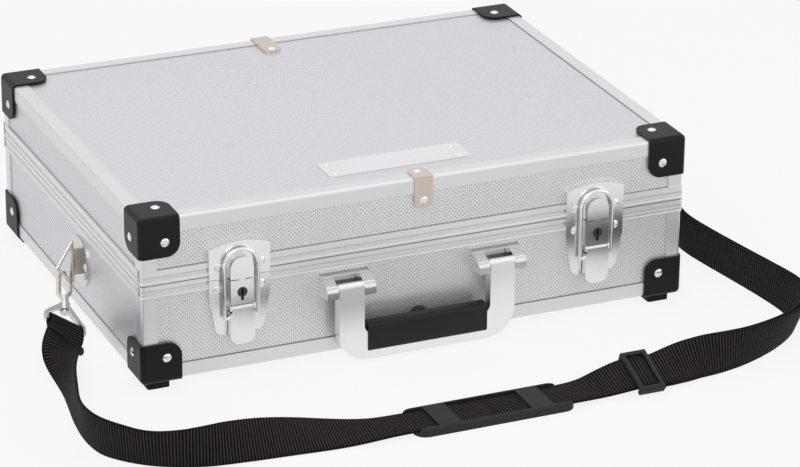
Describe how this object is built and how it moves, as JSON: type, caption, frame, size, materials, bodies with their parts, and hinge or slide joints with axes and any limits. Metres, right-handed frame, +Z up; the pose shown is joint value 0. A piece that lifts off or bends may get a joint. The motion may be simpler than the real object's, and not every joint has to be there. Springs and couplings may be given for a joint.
{
  "type": "hard tool case",
  "caption": "Hard tool case with aluminium edges, corner caps, draw latches, a bow handle and a clip-on shoulder strap.",
  "frame": {"origin": "bottom centre of the case with its handle, latches and hinges but without its strap and rings, on the plane the feet stand on", "axes": "+X to the right along the front, -Y out of the front with the latches, +Z up"},
  "size_m": [0.5571, 0.451, 0.1327],
  "materials": {
    "panel": "fine embossed diamond lattice",
    "profile": "satin anodised",
    "liner": "felt",
    "cap": "black satin",
    "foot": "matte",
    "rivet": "polished",
    "latch": "polished",
    "pin": "plain",
    "hinge": "polished",
    "plug": "polished",
    "bow": "satin",
    "grip": "matte",
    "plate": "brushed, bare",
    "hardware": "nickel plated",
    "webbing": "ribbed nylon",
    "pad": "matte"
  },
  "bodies": {
    "base": {"base_front_panel": "panel", "base_back_panel": "panel", "base_left_panel": "panel", "base_right_panel": "panel", "base_bottom_panel": "panel", "base_edge_profiles": "profile", "base_corner_profiles": "profile", "base_rim": "profile", "base_liner": "liner", "base_corner_caps": "cap", "feet": "foot", "base_rivets": "rivet", "hinge_base_leaves": "hinge", "hinge_pins": "pin", "latch_base_left": "latch", "latch_base_right": "latch", "latch_pins": "pin", "handle_brackets": "latch", "handle_pins": "pin", "handle_bumper": "grip", "ring_brackets": "hardware", "strap_webbing": "webbing", "strap_return": "webbing", "strap_slider": "pad"},
    "lid": {"lid_front_panel": "panel", "lid_back_panel": "panel", "lid_left_panel": "panel", "lid_right_panel": "panel", "lid_top_panel": "panel", "lid_edge_profiles": "profile", "lid_corner_profiles": "profile", "lid_rim": "profile", "lid_liner": "liner", "lid_corner_caps": "cap", "lid_rivets": "rivet", "hinge_lid_leaves": "hinge", "latch_strike_left": "latch", "latch_strike_right": "latch", "name_plate": "plate", "name_plate_rivets": "rivet", "edge_clips": "hardware"},
    "lever_left": {"latch_lever_left": "latch"},
    "bail_left": {"latch_bail_left": "latch"},
    "plug_left": {"lock_plug_left": "plug"},
    "ring_left": {"strap_ring_left": "hardware", "hook_eye_left": "hardware"},
    "hook_left": {"strap_hook_left": "hardware"},
    "gate_left": {"hook_gate_left": "hardware"},
    "lever_right": {"latch_lever_right": "latch"},
    "bail_right": {"latch_bail_right": "latch"},
    "plug_right": {"lock_plug_right": "plug"},
    "ring_right": {"strap_ring_right": "hardware", "hook_eye_right": "hardware"},
    "hook_right": {"strap_hook_right": "hardware"},
    "gate_right": {"hook_gate_right": "hardware"},
    "handle": {"handle_bow": "bow", "handle_grip": "grip"},
    "pad": {"shoulder_pad": "pad"}
  },
  "joints": [
    {"name": "lid_hinge", "type": "hinge", "parent": "base", "child": "lid", "pos_m": [0, 0.1626, 0.0815], "axis": [-1, 0, 0], "range_deg": [0, 95]},
    {"name": "latch_lever_left", "type": "hinge", "parent": "base", "child": "lever_left", "pos_m": [-0.137, -0.1538, 0.057], "axis": [-1, 0, 0], "range_deg": [0, 100]},
    {"name": "latch_bail_left", "type": "hinge", "parent": "lever_left", "child": "bail_left", "pos_m": [-0.137, -0.1533, 0.0495], "axis": [-1, 0, 0], "range_deg": [-140, 0]},
    {"name": "lock_plug_left", "type": "hinge", "parent": "base", "child": "plug_left", "pos_m": [-0.137, -0.1546, 0.069], "axis": [0, -1, 0], "range_deg": [0, 90]},
    {"name": "latch_lever_right", "type": "hinge", "parent": "base", "child": "lever_right", "pos_m": [0.137, -0.1538, 0.057], "axis": [-1, 0, 0], "range_deg": [0, 100]},
    {"name": "latch_bail_right", "type": "hinge", "parent": "lever_right", "child": "bail_right", "pos_m": [0.137, -0.1533, 0.0495], "axis": [-1, 0, 0], "range_deg": [-140, 0]},
    {"name": "lock_plug_right", "type": "hinge", "parent": "base", "child": "plug_right", "pos_m": [0.137, -0.1546, 0.069], "axis": [0, -1, 0], "range_deg": [0, 90]},
    {"name": "handle_hinge", "type": "hinge", "parent": "base", "child": "handle", "pos_m": [0, -0.1611, 0.0619], "axis": [-1, 0, 0], "range_deg": [0, 90]},
    {"name": "ring_swing_left", "type": "hinge", "parent": "base", "child": "ring_left", "pos_m": [-0.214, -0.0146, 0.0475], "axis": [0, 0, -1], "range_deg": [-6, 85], "deforming": ["strap_webbing"]},
    {"name": "hook_swivel_left", "type": "hinge", "parent": "ring_left", "child": "hook_left", "pos_m": [-0.22177, -0.01873, 0.04052], "axis": [-0.2847, -0.8509, -0.4415], "range_deg": [-15, 15]},
    {"name": "hook_gate_left", "type": "hinge", "parent": "hook_left", "child": "gate_left", "pos_m": [-0.22234, -0.03326, 0.03628], "axis": [-0.5955, -0.2039, 0.777], "range_deg": [0, 25], "stiffness_Nm_per_rad": 0.02, "springref_deg": -11.46},
    {"name": "ring_swing_right", "type": "hinge", "parent": "base", "child": "ring_right", "pos_m": [0.214, -0.0146, 0.0475], "axis": [0, 0, 1], "range_deg": [-6, 85], "deforming": ["strap_webbing", "strap_return"]},
    {"name": "hook_swivel_right", "type": "hinge", "parent": "ring_right", "child": "hook_right", "pos_m": [0.22267, -0.01613, 0.04052], "axis": [0.6188, -0.6498, -0.4415], "range_deg": [-15, 15]},
    {"name": "hook_gate_right", "type": "hinge", "parent": "hook_right", "child": "gate_right", "pos_m": [0.23402, -0.02191, 0.03233], "axis": [0.5893, 0.0123, 0.8078], "range_deg": [0, 25], "stiffness_Nm_per_rad": 0.02, "springref_deg": -11.46},
    {"name": "pad_slide", "type": "slide", "parent": "base", "child": "pad", "axis": [1, 0, 0], "range_m": [-0.012, 0.012]}
  ],
  "couplings": [
    {"joint": "latch_bail_left", "follows": "latch_lever_left", "ratio": -1.4},
    {"joint": "latch_bail_right", "follows": "latch_lever_right", "ratio": -1.4}
  ]
}
